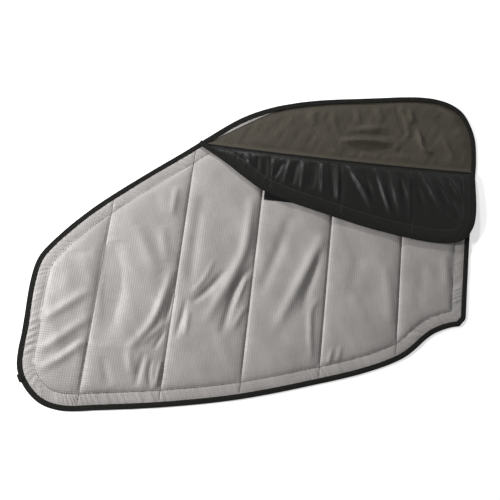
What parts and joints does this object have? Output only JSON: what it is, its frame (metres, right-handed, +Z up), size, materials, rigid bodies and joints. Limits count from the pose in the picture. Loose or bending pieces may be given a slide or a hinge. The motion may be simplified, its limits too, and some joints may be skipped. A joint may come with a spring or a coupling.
{
  "type": "van window cover",
  "caption": "Quilted insulated cover for a van's cab door window, with a mesh screen and a fold-down quilted flap, lying flat with the silver side up.",
  "frame": {"origin": "middle of the outline as it lies, at the height of the surface that the lining's feet rest on", "axes": "+X along the length, towards the straight upright edge; +Y along the quilt seams, towards the mesh screen; +Z up, out of the silver side"},
  "size_m": [1.0356, 0.8658, 0.0199],
  "materials": {
    "silver_fabric": "satin",
    "black_satin": "satin",
    "black_tape": "matte",
    "screen_mesh": "matte",
    "padding": "matte",
    "fastener_tape": "matte",
    "magnet": "satin"
  },
  "bodies": {
    "root": {"main_face": "silver_fabric", "main_wadding": "padding", "main_lining": "black_satin", "edge_binding": "black_tape", "mesh_screen": "screen_mesh", "mesh_facing": "silver_fabric", "fold_tape": "black_tape", "flap_face": "silver_fabric", "flap_wadding": "padding", "flap_lining": "black_satin", "flap_binding": "black_tape", "loop_strip": "fastener_tape", "hook_strip": "fastener_tape", "main_magnet_1": "magnet", "main_magnet_2": "magnet", "main_magnet_3": "magnet", "main_magnet_4": "magnet", "main_magnet_5": "magnet", "main_magnet_6": "magnet", "main_magnet_7": "magnet", "main_magnet_8": "magnet", "main_magnet_9": "magnet", "main_magnet_10": "magnet", "main_magnet_11": "magnet", "main_magnet_12": "magnet", "main_magnet_13": "magnet", "flap_magnet_1": "magnet", "flap_magnet_2": "magnet", "flap_magnet_3": "magnet", "flap_magnet_4": "magnet", "flap_magnet_5": "magnet"}
  },
  "joints": []
}
